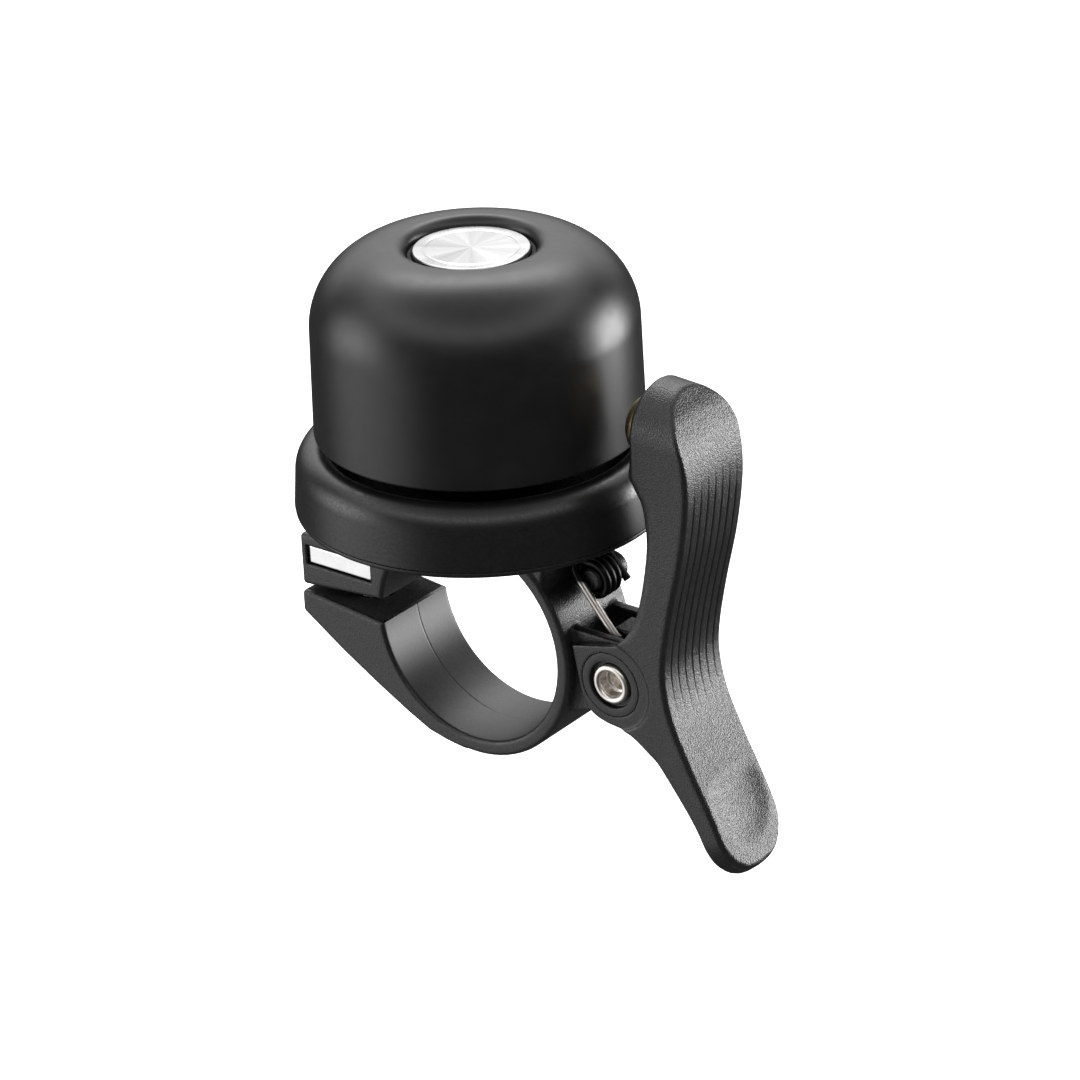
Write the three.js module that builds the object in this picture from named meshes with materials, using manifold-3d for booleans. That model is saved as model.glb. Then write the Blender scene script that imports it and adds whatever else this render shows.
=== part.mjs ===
// Bicycle bell: a dome over a round base, a hinged-by-flexing clamp for a 22.2 mm handlebar, and a sprung
// thumb lever that carries a brass hammer.
//
// Units are millimetres. The origin is the centre of the handlebar. +Z runs up the dome's axis, +Y runs
// along the handlebar, and +X points from the handlebar to the lever. Outlines drawn as [x, z] are seen
// along the handlebar, and profiles drawn as [radius, height] are turned round the dome's axis.

import * as THREE from "three";
import { mergeVertices } from "three/addons/utils/BufferGeometryUtils.js";
import Module from "manifold-3d";

// ---------------------------------------------------------------- driving dimensions

const CLEARANCE = 0.1; // gap between stacked pieces
const RUNNING = 0.06; // radial gap of a turning fit

const BAR_RADIUS = 11.1; // 22.2 mm handlebar
const BAND_RADIUS = 12.62;
const BAND_CENTRE_Z = -0.12; // the band is a little thicker below the handlebar than above it
const BAND_HALF = 5.3;

const DOME_X = -1.2; // the dome's axis
const BASE_Z = 13.3; // underside of the base plate
const BASE_RADIUS = 18.78;
const PLATE_LIP = 0.6;
const SKIRT_TAPER = 0.28; // the skirt's wall leans in by this much up to its shoulder
const SKIRT_SHOULDER_Z = BASE_Z + 4.1;
const SKIRT_TOP = BASE_Z + 6.8;
const LIP_RADIUS = 16.1;
const LIP_ROLL = 1.2;

const RIM_Z = 21.3;
const RIM_RADIUS = 16.44;
const SHOULDER_Z = 32.1;
const SHOULDER_RADIUS = 16.2;
const CREST_Z = 40.45;
const CREST_RADIUS = 7.7;
const DOME_WALL = 1.6;
const WELL_RADIUS = 6.35; // recess in the crown for the cap
const WELL_FLOOR = 37.0;
const DOME_FLOOR_UNDERSIDE = WELL_FLOOR - DOME_WALL + 0.1;
const ISOLATOR = { radius: 5.4, low: 34.3, high: 35.4 }; // rubber between the post and the dome
const WASHER = { radius: 4.4, low: WELL_FLOOR + CLEARANCE / 2, high: WELL_FLOOR + 0.5 };

const CAP_RADIUS = 5.75;
const CAP_TOP = 39.85;
const CAP_THICKNESS = 1.05;
const GASKET = { low: 38.2, high: CAP_TOP - 0.5 };

const SCREW_RADIUS = 2; // M4 thread, outer
const SCREW_HEAD_RADIUS = 3.5;
const SCREW_HOLE_RADIUS = SCREW_RADIUS + 0.25;

const CLAMP_SCREW_X = -16.4;
const NUT = { width: 8.1, height: 1.9, x: -16.4, z: 4.05 };

const PIVOT = { x: 17.3, z: -0.5 };
const PIN_RADIUS = 1.95;
const PIN_BORE = 1.3;
const FORK_INNER = 2.6;
const FORK_OUTER = 3.7;
const CHEEK_INNER = 3.85;
const LEVER_HALF = 4.9;

const WIRE_RADIUS = 0.4;
const COIL = { x: 12.85, z: 8.4, radius: 1.8, front: -1.25, pitch: 0.84 };
const POST_RADIUS = 1.15;
const HOOK = { x: 16.5, z: 3.15 }; // where the wire's lower end crosses the lever's catch

const HAMMER_Z = 26.1;
const HAMMER_RADIUS = 3.1;
const HAMMER_TIP = 17.7;
const HAMMER_CROWN = 2.1;
const STUD = { radius: 1.05, low: 19, high: 23.8 }; // joins the hammer to the lever's head, along X

const FINE = 56; // sides of the large turned pieces
const ROUND = 20; // sides of the small turned pieces

// ---------------------------------------------------------------- materials

const paint = new THREE.MeshStandardMaterial({ color: 0x1b1b1c, roughness: 0.42, metalness: 0.1 });
const plastic = new THREE.MeshStandardMaterial({ color: 0x1c1c1d, roughness: 0.5, metalness: 0 });
const grained = new THREE.MeshStandardMaterial({ color: 0x242425, roughness: 0.62, metalness: 0 });
const rubber = new THREE.MeshStandardMaterial({ color: 0x0d0d0d, roughness: 0.9, metalness: 0 });
const aluminium = new THREE.MeshStandardMaterial({ color: 0xd4d4d2, roughness: 0.3, metalness: 1 });
const steel = new THREE.MeshStandardMaterial({ color: 0xb9b4ad, roughness: 0.25, metalness: 1 });
const brass = new THREE.MeshStandardMaterial({ color: 0xb08a3e, roughness: 0.35, metalness: 1 });

// ---------------------------------------------------------------- solids

const wasm = await Module();
wasm.setup();

// A closed geometry as a manifold solid, with its shared points merged and its faces turned outwards.
function solid(geometry) {
  geometry.deleteAttribute("normal");
  geometry.deleteAttribute("uv");
  const merged = mergeVertices(geometry, 1e-5);
  const points = merged.getAttribute("position").array;
  const corners = merged.getIndex().array;
  const faces = [];
  for (let i = 0; i < corners.length; i += 3) {
    const [a, b, c] = [corners[i], corners[i + 1], corners[i + 2]];
    if (a !== b && b !== c && c !== a) faces.push([a, b, c]);
  }
  const at = (i) => new THREE.Vector3().fromArray(points, 3 * i);
  const volume = faces.reduce((sum, [a, b, c]) => sum + at(a).dot(at(b).cross(at(c))), 0);
  const outward = volume < 0 ? faces.map(([a, b, c]) => [a, c, b]) : faces;
  const vertProperties = Float32Array.from(points);
  const triVerts = Uint32Array.from(outward.flat());
  return new wasm.Manifold(new wasm.Mesh({ numProp: 3, vertProperties, triVerts }));
}

function geometryOf(body) {
  const { vertProperties, triVerts } = body.getMesh();
  const geometry = new THREE.BufferGeometry();
  geometry.setAttribute("position", new THREE.BufferAttribute(vertProperties, 3));
  geometry.setIndex(new THREE.BufferAttribute(triVerts, 1));
  geometry.computeVertexNormals();
  return geometry;
}

const bell = new THREE.Group();

function addPiece(name, body, material) {
  const mesh = new THREE.Mesh(geometryOf(body), material);
  mesh.name = name;
  bell.add(mesh);
}

// Points along an arc of an ellipse, from one angle to another in degrees.
function arc(centreX, centreY, radiusX, radiusY, from, to, steps) {
  return Array.from({ length: steps + 1 }, (_, i) => {
    const angle = THREE.MathUtils.degToRad(from + ((to - from) * i) / steps);
    return [centreX + radiusX * Math.cos(angle), centreY + radiusY * Math.sin(angle)];
  });
}

// A smooth curve through the given points.
function curveThrough(points, steps) {
  const curve = new THREE.SplineCurve(points.map(([x, y]) => new THREE.Vector2(x, y)));
  return curve.getSpacedPoints(steps).map((point) => [point.x, point.y]);
}

const shapeOf = (outline) => new THREE.Shape(outline.map(([x, y]) => new THREE.Vector2(x, y)));

// A closed [radius, height] profile turned round an upright axis at x.
function turned(profile, sides, x = DOME_X) {
  const points = [...profile, profile[0]].map(([radius, height]) => new THREE.Vector2(radius, height));
  const geometry = new THREE.LatheGeometry(points, sides);
  return solid(geometry.rotateX(Math.PI / 2).translate(x, 0, 0));
}

// A closed [radius, y] profile turned round an axis parallel to the handlebar.
function turnedAlongY(profile, sides, { x, z }) {
  const points = [...profile, profile[0]].map(([radius, y]) => new THREE.Vector2(radius, y));
  return solid(new THREE.LatheGeometry(points, sides).translate(x, 0, z));
}

// A closed [radius, x] profile turned round an axis along X.
function turnedAlongX(profile, sides, z) {
  const points = [...profile, profile[0]].map(([radius, x]) => new THREE.Vector2(radius, x));
  return solid(new THREE.LatheGeometry(points, sides).rotateZ(-Math.PI / 2).translate(0, 0, z));
}

// An [x, z] outline drawn out along the handlebar from yLow to yHigh.
function acrossBar(outline, yLow, yHigh) {
  const options = { depth: yHigh - yLow, bevelEnabled: false };
  const geometry = new THREE.ExtrudeGeometry(shapeOf(outline), options);
  return solid(geometry.rotateX(Math.PI / 2).translate(0, yHigh, 0));
}

// A [y, z] outline drawn out along X from xLow to xHigh.
function alongX(outline, xLow, xHigh) {
  const options = { depth: xHigh - xLow, bevelEnabled: false };
  const geometry = new THREE.ExtrudeGeometry(shapeOf(outline), options);
  return solid(geometry.rotateX(Math.PI / 2).rotateZ(Math.PI / 2).translate(xLow, 0, 0));
}

function block(x, y, z) {
  const [width, depth, height] = [x[1] - x[0], y[1] - y[0], z[1] - z[0]];
  const geometry = new THREE.BoxGeometry(width, depth, height);
  geometry.translate((x[0] + x[1]) / 2, (y[0] + y[1]) / 2, (z[0] + z[1]) / 2);
  return solid(geometry);
}

// An upright rod, and one parallel to the handlebar.
const rodProfile = (radius, low, high) => [[0, low], [radius, low], [radius, high], [0, high]];
const rod = (radius, low, high, x, sides = ROUND) => turned(rodProfile(radius, low, high), sides, x);
const crossRod = (radius, low, high, centre) => turnedAlongY(rodProfile(radius, low, high), ROUND, centre);
const rodAlongX = (radius, low, high, z) => turnedAlongX(rodProfile(radius, low, high), ROUND, z);

// A screw with a round head on an upright axis. The head's seat is at z, and the head lies on the side
// that `up` gives: 1 above the seat, -1 below it.
function screw({ x, z, up, length, headHeight }) {
  const chamfer = 0.3;
  const profile = [
    [0, z - up * length],
    [SCREW_RADIUS - chamfer, z - up * length],
    [SCREW_RADIUS, z - up * (length - chamfer)],
    [SCREW_RADIUS, z],
    [SCREW_HEAD_RADIUS, z],
    [SCREW_HEAD_RADIUS, z + up * (headHeight - chamfer)],
    [SCREW_HEAD_RADIUS - chamfer, z + up * headHeight],
    [0, z + up * headHeight],
  ];
  const socketAcross = 1.45;
  const socketDepth = 0.6 * headHeight;
  const socketEnds = [z + up * (headHeight - socketDepth), z + up * (headHeight + 1)];
  const socket = rod(socketAcross, Math.min(...socketEnds), Math.max(...socketEnds), x, 6);
  return turned(profile, ROUND, x).subtract(socket);
}

// ---------------------------------------------------------------- dome and what holds it

function dome() {
  const reach = SHOULDER_RADIUS - CREST_RADIUS;
  const rise = CREST_Z - SHOULDER_Z;
  const outerArc = arc(CREST_RADIUS, SHOULDER_Z, reach, rise, 0, 90, 9);
  const innerArc = arc(CREST_RADIUS, SHOULDER_Z, reach - DOME_WALL, rise - DOME_WALL, 84, 0, 5);
  const wellRound = CREST_RADIUS - WELL_RADIUS;
  const wellEdge = arc(CREST_RADIUS, CREST_Z - wellRound, wellRound, wellRound, 90, 180, 4);
  const wellOuter = WELL_RADIUS + DOME_WALL;
  const floorUnderside = DOME_FLOOR_UNDERSIDE;
  const hole = SCREW_HOLE_RADIUS;
  const rimBreak = 0.3;
  return turned([
    [RIM_RADIUS - rimBreak, RIM_Z],
    [RIM_RADIUS, RIM_Z + rimBreak],
    ...outerArc,
    ...wellEdge.slice(1),
    [WELL_RADIUS, WELL_FLOOR],
    [hole, WELL_FLOOR],
    [hole, floorUnderside],
    [wellOuter - 0.7, floorUnderside],
    [wellOuter, floorUnderside + 0.7],
    ...innerArc,
    [RIM_RADIUS - DOME_WALL, RIM_Z + rimBreak],
    [RIM_RADIUS - DOME_WALL + rimBreak, RIM_Z],
  ], FINE);
}

function cap() {
  const groove = 0.8 * CAP_RADIUS;
  const bottom = CAP_TOP - CAP_THICKNESS;
  return turned([
    [0, bottom],
    [CAP_RADIUS - 0.15, bottom],
    [CAP_RADIUS, bottom + 0.15],
    [CAP_RADIUS, CAP_TOP - 0.15],
    [CAP_RADIUS - 0.15, CAP_TOP],
    [groove + 0.2, CAP_TOP],
    [groove, CAP_TOP - 0.15],
    [groove - 0.2, CAP_TOP],
    [0, CAP_TOP],
  ], 32);
}

function ring(inner, outer, low, high, sides, x = DOME_X) {
  return turned([[inner, low], [outer, low], [outer, high], [inner, high]], sides, x);
}

function centrePost() {
  const bottom = BASE_Z + 2.6;
  const flangeTop = bottom + 1.4;
  const top = ISOLATOR.low - CLEARANCE;
  const bore = SCREW_RADIUS + RUNNING;
  const flangeRadius = 6.8;
  const radius = 4.2;
  const edge = 0.3;
  const fillet = 0.7;
  return turned([
    [bore, bottom],
    [flangeRadius, bottom],
    [flangeRadius, flangeTop - edge],
    [flangeRadius - edge, flangeTop],
    [radius + fillet, flangeTop],
    [radius, flangeTop + fillet],
    [radius, top - edge],
    [radius - edge, top],
    [bore, top],
  ], 28);
}

addPiece("bell_dome", dome(), paint);
addPiece("top_cap", cap(), aluminium);
const gasket = ring(CAP_RADIUS + CLEARANCE, WELL_RADIUS - CLEARANCE, GASKET.low, GASKET.high, 32);
const domeScrew = { x: DOME_X, z: WASHER.high + CLEARANCE, up: 1, length: 12, headHeight: 0.95 };
addPiece("cap_gasket", gasket, rubber);
addPiece("dome_washer", ring(SCREW_HOLE_RADIUS, WASHER.radius, WASHER.low, WASHER.high, ROUND), steel);
addPiece("dome_screw", screw(domeScrew), steel);
addPiece("dome_isolator", ring(SCREW_HOLE_RADIUS, ISOLATOR.radius, ISOLATOR.low, ISOLATOR.high, ROUND), rubber);
addPiece("centre_post", centrePost(), plastic);

// ---------------------------------------------------------------- base

function skirt() {
  const bottom = BASE_Z + PLATE_LIP;
  const deckTop = BASE_Z + 2.5;
  const deckBottom = BASE_Z + 1.3;
  const shoulderReach = BASE_RADIUS - SKIRT_TAPER - LIP_RADIUS;
  const shoulder = arc(LIP_RADIUS, SKIRT_SHOULDER_Z, shoulderReach, SKIRT_TOP - SKIRT_SHOULDER_Z, 0, 90, 6);
  const roll = arc(LIP_RADIUS, SKIRT_TOP - LIP_ROLL, LIP_ROLL, LIP_ROLL, 110, 180, 3);
  return turned([
    [BASE_RADIUS - 0.1, bottom],
    [BASE_RADIUS, bottom + 0.1],
    ...shoulder,
    ...roll,
    [14.9, deckTop + 0.6],
    [14.3, deckTop],
    [SCREW_RADIUS + RUNNING, deckTop],
    [SCREW_RADIUS + RUNNING, deckBottom],
    [16.6, deckBottom],
    [16.6, bottom],
  ], FINE);
}

const BASE_SCREWS = [-9, 9]; // along the handlebar

function plate() {
  const top = BASE_Z + PLATE_LIP - 0.05;
  const spigot = BASE_Z + 1.2;
  const body = turned([
    [0, BASE_Z],
    [BASE_RADIUS - 0.3, BASE_Z],
    [BASE_RADIUS - 0.1, BASE_Z + 0.2],
    [BASE_RADIUS - 0.1, top],
    [16.5, top],
    [16.5, spigot],
    [0, spigot],
  ], FINE);
  return BASE_SCREWS.reduce((rest, y) => rest.subtract(screwHole(y)), body);
}

function screwHole(y) {
  const shank = rod(1.25, BASE_Z - 1, BASE_Z + 2, DOME_X, 20);
  const head = rod(2.45, BASE_Z - 1, BASE_Z + 0.5, DOME_X, 20);
  return shank.add(head).translate(0, y, 0);
}

// A small pan-head screw that holds the plate to the skirt's deck from below.
function baseScrew(y) {
  const seat = BASE_Z + 0.45;
  const tip = BASE_Z + 1.2;
  const body = turned([
    [0, BASE_Z + 0.05],
    [1.9, BASE_Z + 0.05],
    [2.2, BASE_Z + 0.2],
    [2.2, seat],
    [1.1, seat],
    [1.1, tip],
    [0, tip],
  ], ROUND);
  const slot = block([DOME_X - 3, DOME_X + 3], [-0.25, 0.25], [BASE_Z - 1, BASE_Z + 0.3]);
  return body.subtract(slot).translate(0, y, 0);
}

addPiece("base_skirt", skirt(), paint);
addPiece("base_plate", plate(), plastic);
BASE_SCREWS.forEach((y, i) => addPiece(`base_screw_${i + 1}`, baseScrew(y), steel));

// ---------------------------------------------------------------- clamp

// The slit between the upper lug and the lower jaw, from the handlebar outwards. It narrows to the left.
const LUG_TOP = 6.3;
const SLIT = { inner: { x: -10.9, top: 1.4, bottom: -1.3 }, outer: { x: -21.2, top: 0.5, bottom: -0.2 } };

// The upper lug with the nut in it, the lower jaw, and the band between them, which flexes when the
// screw pulls the two together. The same piece carries the saddle under the base, the fork for the
// lever's pivot and the arm for the spring's post.
function clamp() {
  const { inner, outer } = SLIT;
  const disc = crossRod(BAND_RADIUS, -BAND_HALF, BAND_HALF, { x: 0, z: BAND_CENTRE_Z }, FINE);
  const lug = acrossBar([
    [-21.0, outer.top],
    [-6, inner.top],
    [-6, LUG_TOP + 4.6],
    [-9.2, LUG_TOP + 2.4],
    [-12.4, LUG_TOP],
    [-21.1, LUG_TOP],
    [-21.5, LUG_TOP - 0.4],
    [-21.5, outer.top + 0.5],
  ], -BAND_HALF, BAND_HALF);
  const jaw = acrossBar([
    [-6, inner.bottom],
    [inner.x, inner.bottom],
    [outer.x, outer.bottom],
    [-21.7, outer.bottom - 0.5],
    [-21.7, -2.6],
    [-16.7, -5.9],
    [-12.5, -8.4],
    [-8.3, -10.7],
    [-5.6, -12.0],
    [-3.4, -12.5],
    [-1.2, -12.65],
    [-1.2, -11.7],
  ], -BAND_HALF, BAND_HALF);
  const saddle = acrossBar([
    [-9.5, 4],
    [9.6, 4],
    [9.6, 9.2],
    [10.6, BASE_Z - CLEARANCE],
    [-11.4, BASE_Z - CLEARANCE],
    [-9.5, 9.2],
  ], -BAND_HALF + 0.3, BAND_HALF - 0.3);
  const forkWall = acrossBar([
    [9, 3.9],
    [PIVOT.x + 0.4, 3.85],
    ...arc(PIVOT.x, PIVOT.z, 3.4, 3.4, 55, -100, 12),
    [9, -6.2],
  ], -FORK_OUTER, FORK_OUTER);
  const forkGap = block([BAND_RADIUS - 0.6, 30], [-FORK_INNER, FORK_INNER], [-12, 12]);
  const postArm = acrossBar([
    [8.5, 10.6],
    ...arc(COIL.x, COIL.z, 1.5, 1.5, 80, -100, 8),
    [9.5, 6.4],
  ], 1.75, 2.9);
  const bore = crossRod(BAR_RADIUS, -BAND_HALF - 1, BAND_HALF + 1, { x: 0, z: 0 }, FINE);
  const slit = acrossBar([
    [-9, inner.top],
    [inner.x, inner.top],
    [outer.x, outer.top],
    [-23, outer.top],
    [-23, outer.bottom],
    [outer.x, outer.bottom],
    [inner.x, inner.bottom],
    [-9, inner.bottom],
  ], -BAND_HALF - 1, BAND_HALF + 1);
  const nutSlot = block(
    [NUT.x - NUT.width / 2 - 0.25, NUT.x + NUT.width / 2 + 0.15],
    [-BAND_HALF - 1, 4.2],
    [NUT.z - NUT.height / 2 - 0.15, NUT.z + NUT.height / 2 + 0.1],
  );
  const screwShaft = rod(SCREW_RADIUS + 0.3, -12, 6, CLAMP_SCREW_X);
  const headWell = rod(SCREW_HEAD_RADIUS + 0.7, -20, -3.4, CLAMP_SCREW_X);
  const pinHole = crossRod(PIN_RADIUS + 0.08, -6, 6, PIVOT);
  const postHole = crossRod(POST_RADIUS + 0.05, 0, 6, COIL);
  return disc
    .add(lug)
    .add(jaw)
    .add(saddle)
    .add(forkWall.subtract(forkGap))
    .add(postArm)
    .subtract(bore)
    .subtract(slit)
    .subtract(nutSlot)
    .subtract(screwShaft)
    .subtract(headWell)
    .subtract(pinHole)
    .subtract(postHole);
}

// A flat square nut that slides into its slot from the side.
function clampNut() {
  const [halfWidth, halfHeight] = [NUT.width / 2, NUT.height / 2];
  const body = block(
    [NUT.x - halfWidth, NUT.x + halfWidth],
    [-BAND_HALF + 0.25, 4.0],
    [NUT.z - halfHeight, NUT.z + halfHeight],
  );
  return body.subtract(rod(SCREW_RADIUS + RUNNING, -5, 10, CLAMP_SCREW_X));
}

addPiece("clamp_band", clamp(), grained);
addPiece("clamp_nut", clampNut(), steel);
addPiece("clamp_washer", ring(SCREW_RADIUS + 0.2, 3.9, -4.0, -3.5, ROUND, CLAMP_SCREW_X), steel);
addPiece("clamp_screw", screw({ x: CLAMP_SCREW_X, z: -4.1, up: -1, length: 9.6, headHeight: 2.2 }), steel);

// ---------------------------------------------------------------- pivot

function pivotPin() {
  const end = LEVER_HALF - 0.35;
  const rim = 2.15;
  return turnedAlongY([
    [PIN_BORE, -end],
    [rim - 0.3, -end - 0.15],
    [rim, -end + 0.15],
    [PIN_RADIUS, -end + 0.35],
    [PIN_RADIUS, end - 0.35],
    [rim, end - 0.15],
    [rim - 0.3, end + 0.15],
    [PIN_BORE, end],
  ], ROUND, PIVOT);
}

function pivotSpacer() {
  const [inner, outer, half] = [PIN_RADIUS + RUNNING, 2.45, FORK_INNER - CLEARANCE];
  return turnedAlongY([[inner, -half], [outer, -half], [outer, half], [inner, half]], ROUND, PIVOT);
}

addPiece("pivot_pin", pivotPin(), steel);
addPiece("pivot_spacer", pivotSpacer(), steel);

// ---------------------------------------------------------------- return spring and its post

function springPost() {
  return turnedAlongY([
    [0, -1.45],
    [POST_RADIUS - 0.2, -1.45],
    [POST_RADIUS, -1.25],
    [POST_RADIUS, 3.1],
    [0, 3.1],
  ], ROUND, COIL);
}

// The wire runs from its hook in the lever up a straight leg, round a tight bend into the coil, and
// ends in a short tail at the far side.
function springPath() {
  const leg = [
    [HOOK.x, 1.6, HOOK.z],
    [HOOK.x, 0.4, HOOK.z],
    [HOOK.x, -1.2, HOOK.z],
    [16.3, -1.9, 3.35],
    [15.4, -2.05, 4.4],
    [13.8, -2.05, 6.31],
    [12.2, -2.03, 8.22],
    [11.45, -1.95, 9.3],
    [11.35, -1.75, 9.95],
    [11.85, -1.45, 10.3],
  ];
  const turns = 3.1;
  const startAngle = 100;
  const stepsPerTurn = 10;
  const coil = Array.from({ length: turns * stepsPerTurn + 1 }, (_, i) => {
    const turn = i / stepsPerTurn;
    const angle = THREE.MathUtils.degToRad(startAngle - 360 * turn);
    const x = COIL.x + COIL.radius * Math.cos(angle);
    const z = COIL.z + COIL.radius * Math.sin(angle);
    return [x, COIL.front + COIL.pitch * turn, z];
  });
  const tail = [[15.25, 1.5, 7.9]];
  return [...leg, ...coil, ...tail].map((point) => new THREE.Vector3(...point));
}

function spring() {
  const section = shapeOf(arc(0, 0, WIRE_RADIUS, WIRE_RADIUS, 0, 300, 5));
  const path = new THREE.CatmullRomCurve3(springPath(), false, "centripetal");
  return solid(new THREE.ExtrudeGeometry(section, { steps: 96, extrudePath: path, bevelEnabled: false }));
}

addPiece("spring_post", springPost(), plastic);
addPiece("return_spring", spring(), steel);

// ---------------------------------------------------------------- lever and hammer

const HEAD_FACE = 20.35; // the lever head's flat face towards the dome

function leverOutline() {
  const back = curveThrough([
    [23.3, 31.7], [24.4, 30.2], [25.6, 28.4], [26.8, 25.4], [27.15, 21.5], [26.4, 15.6], [25, 9.5],
    [24.05, 4.5], [23.9, 1.2], [24.7, -2.6], [26.7, -7], [29.3, -12], [31.7, -17.4],
  ], 26);
  const tip = [[31.6, -18.3], [30.9, -19.1], [30, -18.9]];
  const paddle = curveThrough([
    [28.9, -17.3], [27.1, -13.5], [24, -9.2], [21.9, -6.8], [19.5, -5.25], [16.6, -4.8], [14.9, -4.1],
    [13.9, -2.6], [13.1, 0.9], [12.75, 2.6],
  ], 18);
  const inner = curveThrough([
    [18, 3.9], [19.5, 5.4], [20.8, 8], [21.75, 12], [22.25, 16], [21.95, 19.6], [21.15, 21.25],
    [HEAD_FACE, 22.6],
  ], 14);
  const headTop = [[HEAD_FACE, 31.7]];
  return [...back, ...tip, ...paddle, ...inner, ...headTop];
}

// What the lever fills when it is seen along X: straight sides with round ends.
function leverFace() {
  const headCentre = 31.2 - LEVER_HALF;
  const tipCentre = -14.3;
  return [
    ...arc(0, headCentre, LEVER_HALF, LEVER_HALF, 0, 180, 16),
    ...arc(0, tipCentre, LEVER_HALF, 4.7, 180, 360, 16),
  ];
}

function lever() {
  const body = acrossBar(leverOutline(), -LEVER_HALF, LEVER_HALF);
  const face = alongX(leverFace(), 8, 36);
  const forkRoom = acrossBar([
    [10, 4.3],
    [16.4, 4.9],
    [18.2, 6.2],
    [19.8, 5.2],
    ...arc(PIVOT.x, PIVOT.z, 3.8, 3.8, 40, -75, 12),
    [17.4, -6.5],
    [10, -6.5],
  ], -CHEEK_INNER, CHEEK_INNER);
  const catchArm = acrossBar([
    [15.6, 2.4], [21, 2.4], [21, 5], [18.4, 5], [17.6, 3.95], [15.6, 3.95],
  ], -1.5, 1.5);
  const catchHole = crossRod(WIRE_RADIUS + 0.2, -3, 3, HOOK);
  const pinHole = crossRod(PIN_RADIUS + RUNNING, -6, 6, PIVOT);
  const counterboreDepth = 0.9;
  const nearCounterbore = crossRod(2.5, -6, -LEVER_HALF + counterboreDepth, PIVOT);
  const farCounterbore = crossRod(2.5, LEVER_HALF - counterboreDepth, 6, PIVOT);
  const studHole = rodAlongX(STUD.radius + CLEARANCE, 20, STUD.high + 0.2, HAMMER_Z);
  return body
    .intersect(face)
    .subtract(forkRoom)
    .add(catchArm)
    .subtract(catchHole)
    .subtract(pinHole)
    .subtract(nearCounterbore)
    .subtract(farCounterbore)
    .subtract(studHole);
}

function hammer() {
  const seat = HEAD_FACE - CLEARANCE;
  const crown = arc(0, HAMMER_TIP + HAMMER_CROWN, HAMMER_RADIUS, HAMMER_CROWN, 0, -90, 7);
  return turnedAlongX([[0, seat], [HAMMER_RADIUS, seat], ...crown], ROUND, HAMMER_Z)
    .subtract(rodAlongX(STUD.radius + CLEARANCE, STUD.low - CLEARANCE, 22, HAMMER_Z));
}

function hammerStud() {
  return rodAlongX(STUD.radius, STUD.low, STUD.high, HAMMER_Z);
}

addPiece("lever", lever(), grained);
addPiece("hammer", hammer(), brass);
addPiece("hammer_stud", hammerStud(), steel);

export default bell;
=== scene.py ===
"""Bicycle bell: the looks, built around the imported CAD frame.

Shapes are worked out in millimetres in the row frame (+Z up along the dome's axis, +Y along the
handlebar, +X towards the lever) and turned into metres when a mesh is made. Turned pieces are lathed
from [radius, height] profiles. The moulded pieces, the clamp and the lever, are given as a field: a
function that is negative inside the piece, whose zero surface is meshed.
"""

import math

import bpy
import numpy as np
from mathutils import Matrix, Vector


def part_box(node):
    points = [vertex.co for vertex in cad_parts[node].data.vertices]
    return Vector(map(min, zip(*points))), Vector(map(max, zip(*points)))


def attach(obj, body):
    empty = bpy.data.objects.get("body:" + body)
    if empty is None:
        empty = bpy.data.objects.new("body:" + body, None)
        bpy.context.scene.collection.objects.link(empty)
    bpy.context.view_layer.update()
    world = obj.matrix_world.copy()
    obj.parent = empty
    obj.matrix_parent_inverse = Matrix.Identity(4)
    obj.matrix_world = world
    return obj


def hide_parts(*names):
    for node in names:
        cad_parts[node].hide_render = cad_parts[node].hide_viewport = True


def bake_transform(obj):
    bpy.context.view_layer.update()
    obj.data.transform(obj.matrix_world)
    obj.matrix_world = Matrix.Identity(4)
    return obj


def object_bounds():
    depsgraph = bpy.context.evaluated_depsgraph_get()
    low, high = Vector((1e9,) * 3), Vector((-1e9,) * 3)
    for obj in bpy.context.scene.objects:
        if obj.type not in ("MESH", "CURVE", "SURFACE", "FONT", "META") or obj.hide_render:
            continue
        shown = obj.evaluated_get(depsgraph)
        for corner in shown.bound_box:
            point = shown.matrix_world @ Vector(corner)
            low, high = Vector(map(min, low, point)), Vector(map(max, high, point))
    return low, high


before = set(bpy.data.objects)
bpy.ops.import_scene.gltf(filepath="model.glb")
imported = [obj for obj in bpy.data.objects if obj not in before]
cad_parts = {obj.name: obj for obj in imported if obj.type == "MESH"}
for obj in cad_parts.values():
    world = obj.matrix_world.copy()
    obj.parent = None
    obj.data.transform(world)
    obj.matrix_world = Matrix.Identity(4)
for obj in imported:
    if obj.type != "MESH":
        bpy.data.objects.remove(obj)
cad_low, cad_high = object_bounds()

MM = 0.001

# ---------------------------------------------------------------- driving dimensions, in millimetres


def node_box(node):
    """Lowest and highest corner of a CAD node, in millimetres."""
    low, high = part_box(node)
    return low / MM, high / MM


DOME_LOW, DOME_HIGH = node_box("bell_dome")
SKIRT_LOW, SKIRT_HIGH = node_box("base_skirt")
CAP_LOW, CAP_HIGH = node_box("top_cap")
BAND_LOW, BAND_HIGH = node_box("clamp_band")
LEVER_LOW, LEVER_HIGH = node_box("lever")
NUT_LOW, NUT_HIGH = node_box("clamp_nut")
HAMMER_LOW, HAMMER_HIGH = node_box("hammer")
PIN_LOW, PIN_HIGH = node_box("pivot_pin")
SCREW_LOW, SCREW_HIGH = node_box("clamp_screw")

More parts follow.
